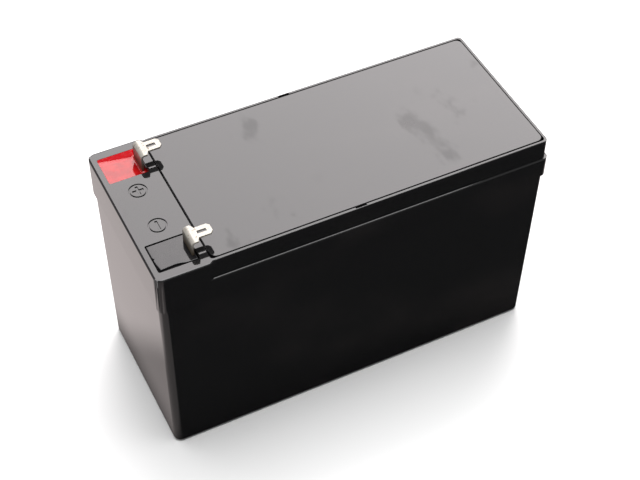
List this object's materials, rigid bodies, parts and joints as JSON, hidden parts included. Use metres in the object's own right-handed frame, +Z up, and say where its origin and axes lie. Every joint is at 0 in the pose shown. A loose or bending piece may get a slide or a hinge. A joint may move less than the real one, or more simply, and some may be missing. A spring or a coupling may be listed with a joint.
{
  "type": "sealed lead-acid battery block",
  "caption": "Rectangular black sealed battery block with a bonded lid, a flush vent cover and two slotted push-on blades at one end, one in a red sealed pocket.",
  "frame": {"origin": "middle of the case's base", "axes": "+X along the long side, away from the terminals; +Y across the case towards the positive terminal; +Z up out of the lid"},
  "size_m": [0.151, 0.065, 0.0996],
  "materials": {
    "case_plastic": "moulded ABS, satin gloss",
    "cover_plastic": "moulded ABS, satin gloss",
    "joint_resin": "cured epoxy",
    "red_resin": "poured epoxy, wet gloss",
    "black_resin": "poured epoxy, gloss",
    "tinned_terminal": "tin plate on brass",
    "lead": "cast lead alloy",
    "rubber": "moulded synthetic rubber",
    "positive_paste": "cured lead dioxide paste",
    "negative_paste": "cured sponge lead paste",
    "glass_mat": "absorbent glass mat"
  },
  "bodies": {
    "case": {"container": "case_plastic", "lid": "case_plastic", "lid_joint_resin": "joint_resin", "positive_tab": "tinned_terminal", "negative_tab": "tinned_terminal", "positive_post": "lead", "negative_post": "lead", "positive_seal": "red_resin", "negative_seal": "black_resin", "positive_seal_ring": "rubber", "negative_seal_ring": "rubber", "positive_end_strap": "lead", "negative_end_strap": "lead", "cell_link_1": "lead", "cell_link_2": "lead", "cell_link_3": "lead", "cell_link_4": "lead", "cell_link_5": "lead", "positive_plates_1": "positive_paste", "negative_plates_1": "negative_paste", "separators_1": "glass_mat", "positive_plates_2": "positive_paste", "negative_plates_2": "negative_paste", "separators_2": "glass_mat", "positive_plates_3": "positive_paste", "negative_plates_3": "negative_paste", "separators_3": "glass_mat", "positive_plates_4": "positive_paste", "negative_plates_4": "negative_paste", "separators_4": "glass_mat", "positive_plates_5": "positive_paste", "negative_plates_5": "negative_paste", "separators_5": "glass_mat", "positive_plates_6": "positive_paste", "negative_plates_6": "negative_paste", "separators_6": "glass_mat"},
    "cover": {"vent_cover": "cover_plastic"},
    "valve_1": {"valve_cap_1": "rubber"},
    "valve_2": {"valve_cap_2": "rubber"},
    "valve_3": {"valve_cap_3": "rubber"},
    "valve_4": {"valve_cap_4": "rubber"},
    "valve_5": {"valve_cap_5": "rubber"},
    "valve_6": {"valve_cap_6": "rubber"}
  },
  "joints": [
    {"name": "cover_lift", "type": "slide", "parent": "case", "child": "cover", "axis": [0, 0, 1], "range_m": [0, 0.004]},
    {"name": "valve_lift_1", "type": "slide", "parent": "case", "child": "valve_1", "axis": [0, 0, 1], "range_m": [0, 0.0005], "stiffness_N_per_m": 60, "springref_m": -0.002},
    {"name": "valve_lift_2", "type": "slide", "parent": "case", "child": "valve_2", "axis": [0, 0, 1], "range_m": [0, 0.0005], "stiffness_N_per_m": 60, "springref_m": -0.002},
    {"name": "valve_lift_3", "type": "slide", "parent": "case", "child": "valve_3", "axis": [0, 0, 1], "range_m": [0, 0.0005], "stiffness_N_per_m": 60, "springref_m": -0.002},
    {"name": "valve_lift_4", "type": "slide", "parent": "case", "child": "valve_4", "axis": [0, 0, 1], "range_m": [0, 0.0005], "stiffness_N_per_m": 60, "springref_m": -0.002},
    {"name": "valve_lift_5", "type": "slide", "parent": "case", "child": "valve_5", "axis": [0, 0, 1], "range_m": [0, 0.0005], "stiffness_N_per_m": 60, "springref_m": -0.002},
    {"name": "valve_lift_6", "type": "slide", "parent": "case", "child": "valve_6", "axis": [0, 0, 1], "range_m": [0, 0.0005], "stiffness_N_per_m": 60, "springref_m": -0.002}
  ]
}
